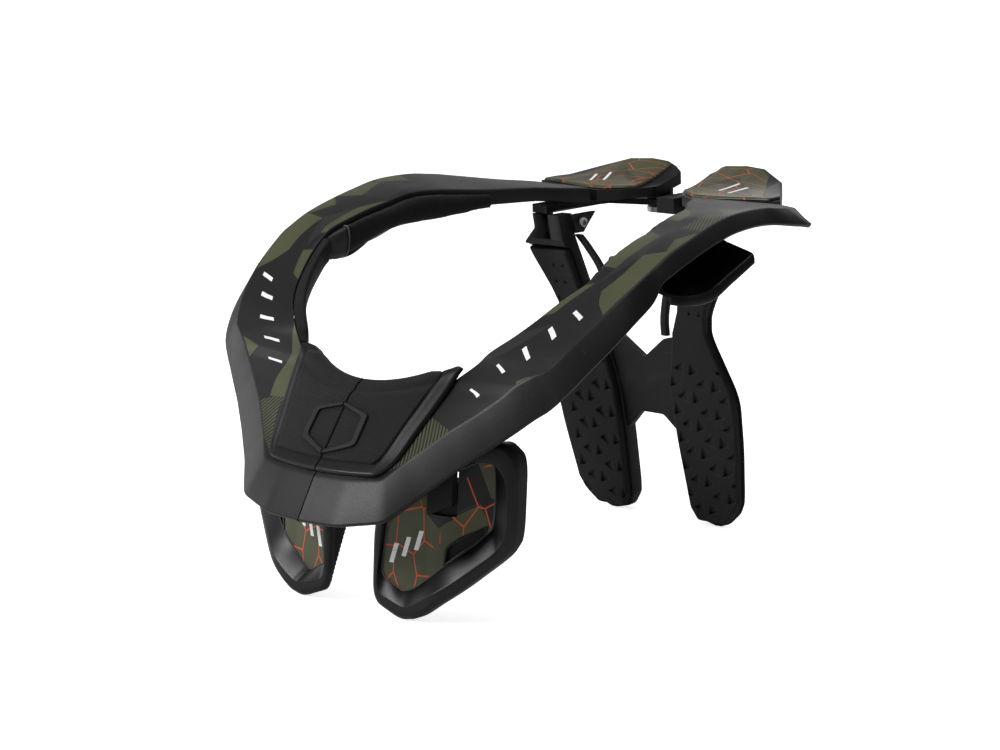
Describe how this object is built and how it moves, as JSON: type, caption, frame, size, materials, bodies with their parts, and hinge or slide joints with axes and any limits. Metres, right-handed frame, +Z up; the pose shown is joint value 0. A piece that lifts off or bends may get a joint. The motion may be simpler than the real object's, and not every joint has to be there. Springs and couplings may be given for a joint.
{
  "type": "motocross neck brace",
  "caption": "Rigid neck brace for motocross: two hinged camo halves round the neck, padded inside, chest pieces in front, rear wings and a two-legged back strut.",
  "frame": {"origin": "under the middle of the whole brace, on the surface it stands on", "axes": "+Z up, +Y towards the wearer's back, +X across the shoulders"},
  "size_m": [0.26, 0.2958, 0.1875],
  "materials": {
    "camo_shell": "satin, angular camouflage print",
    "plastic": "satin black",
    "rubber": "matt",
    "foam": "matt moulded foam",
    "textile": "ribbed black textile",
    "decal": "printed film",
    "steel": "brushed"
  },
  "bodies": {
    "back": {"rear_carrier": "plastic", "strut_frame": "plastic", "hinge_pin_l": "steel", "strut_bracket_l": "plastic", "strut_screw_l": "steel", "leg_pad_l": "foam", "strut_link_l": "plastic", "hinge_pin_r": "steel", "strut_bracket_r": "plastic", "strut_screw_r": "steel", "leg_pad_r": "foam", "strut_link_r": "plastic"},
    "right_half": {"arm_shell_r": "camo_shell", "collar_liner_r": "rubber", "front_frame_r": "plastic", "front_pad_r": "textile", "front_emblem_r": "rubber", "shoulder_pad_r": "textile", "shoulder_shell_r": "plastic", "chest_bracket_r": "plastic", "chest_frame_r": "plastic", "chest_plate_r": "decal", "chest_pad_r": "foam", "wing_body_r": "plastic", "wing_plate_r": "decal"},
    "left_half": {"arm_shell_l": "camo_shell", "collar_liner_l": "rubber", "front_frame_l": "plastic", "front_pad_l": "textile", "front_emblem_l": "rubber", "shoulder_pad_l": "textile", "shoulder_shell_l": "plastic", "chest_bracket_l": "plastic", "chest_frame_l": "plastic", "chest_plate_l": "decal", "chest_pad_l": "foam", "wing_body_l": "plastic", "wing_plate_l": "decal"}
  },
  "joints": [
    {"name": "right_hinge", "type": "hinge", "parent": "back", "child": "right_half", "pos_m": [0.01703, 0.13542, 0.17], "axis": [0, 0, 1], "range_deg": [0, 30]},
    {"name": "left_hinge", "type": "hinge", "parent": "back", "child": "left_half", "pos_m": [-0.01703, 0.13542, 0.17], "axis": [0, 0, -1], "range_deg": [0, 30]}
  ]
}
